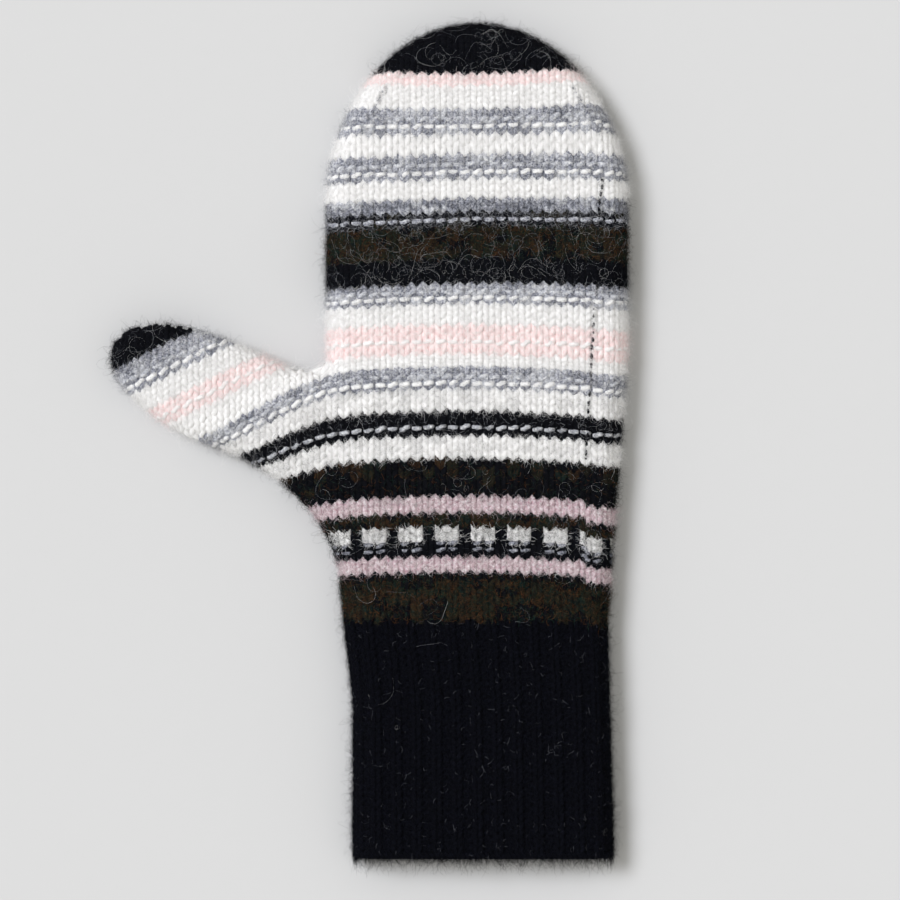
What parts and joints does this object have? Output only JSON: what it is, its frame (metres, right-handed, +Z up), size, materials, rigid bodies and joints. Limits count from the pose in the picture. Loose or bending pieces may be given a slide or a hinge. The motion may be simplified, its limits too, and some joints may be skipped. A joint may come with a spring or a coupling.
{
  "type": "knitted mitten",
  "caption": "Felted wool mitten with a rounded tip, an angled thumb, a ribbed cuff and horizontal stripes, lying flat",
  "frame": {"origin": "on the surface that the mitten lies on, under the middle of the wrist, where the ribbed cuff meets the hand", "axes": "+Y runs from the wrist to the fingertips, the thumb points toward -X, +Z is up through the flat hand"},
  "size_m": [0.1728, 0.2773, 0.014],
  "materials": {
    "navy_rib_wool": "lightly felted, brushed wool yarn with a short fuzz",
    "tweed_wool": "lightly felted, brushed wool yarn with a short fuzz",
    "dusty_pink_wool": "lightly felted, brushed wool yarn with a short fuzz",
    "black_wool": "lightly felted, brushed wool yarn with a short fuzz",
    "white_wool": "lightly felted, brushed wool yarn with a short fuzz",
    "grey_wool": "lightly felted, brushed wool yarn with a short fuzz",
    "pink_wool": "lightly felted, brushed wool yarn with a short fuzz",
    "charcoal_wool": "lightly felted, brushed wool yarn with a short fuzz"
  },
  "bodies": {
    "palm": {"lower_pink_stripe": "dusty_pink_wool", "block_stripe": "black_wool", "white_blocks": "white_wool", "olive_stripe": "tweed_wool", "upper_pink_stripe": "dusty_pink_wool", "black_tweed_stripe": "tweed_wool", "palm_white_stripe": "white_wool", "black_dash_stripe": "black_wool", "gusset_white_stripe": "white_wool", "gusset_grey_stripe": "grey_wool", "hand_white_stripe": "white_wool", "hand_pink_stripe": "pink_wool", "knuckle_white_stripe": "white_wool", "knuckle_grey_stripe": "grey_wool", "knuckle_black_stripe": "black_wool", "carried_strand_palm": "black_wool", "wrist_tweed_stripe": "tweed_wool", "knuckle_tweed_stripe": "tweed_wool", "thumb_white_stripe": "white_wool"},
    "cuff": {"rib_cuff": "navy_rib_wool"},
    "fingers": {"dark_dash_stripe": "charcoal_wool", "finger_white_stripe": "white_wool", "carried_strand_fingers": "black_wool", "finger_grey_stripe": "grey_wool"},
    "fingertips": {"fingertip_white_stripe": "white_wool", "fingertip_grey_stripe": "grey_wool", "dome_white_stripe": "white_wool", "dome_pink_stripe": "pink_wool", "black_fingertip": "black_wool"},
    "thumb": {"thumb_pink_stripe": "pink_wool", "thumb_upper_white_stripe": "white_wool"},
    "thumb_tip": {"thumb_grey_stripe": "grey_wool", "black_thumb_tip": "black_wool"}
  },
  "joints": [
    {"name": "wrist_bend", "type": "hinge", "parent": "palm", "child": "cuff", "pos_m": [0, 0.0077, 0.007], "axis": [-1, 0, 0], "range_deg": [0, 45], "deforming": ["wrist_tweed_stripe"]},
    {"name": "knuckle_bend", "type": "hinge", "parent": "palm", "child": "fingers", "pos_m": [0, 0.1262, 0.007], "axis": [1, 0, 0], "range_deg": [0, 50], "deforming": ["knuckle_tweed_stripe"]},
    {"name": "fingertip_bend", "type": "hinge", "parent": "fingers", "child": "fingertips", "pos_m": [0, 0.1514, 0.007], "axis": [1, 0, 0], "range_deg": [0, 45], "deforming": ["finger_grey_stripe"]},
    {"name": "thumb_bend", "type": "hinge", "parent": "palm", "child": "thumb", "pos_m": [-0.0777, 0.0721, 0.007], "axis": [0.8958, 0.4444, 0], "range_deg": [0, 45], "deforming": ["thumb_white_stripe"]},
    {"name": "thumb_tip_bend", "type": "hinge", "parent": "thumb", "child": "thumb_tip", "pos_m": [-0.0942, 0.0811, 0.007], "axis": [0.8806, 0.4739, 0], "range_deg": [0, 40], "deforming": ["thumb_upper_white_stripe"]}
  ]
}
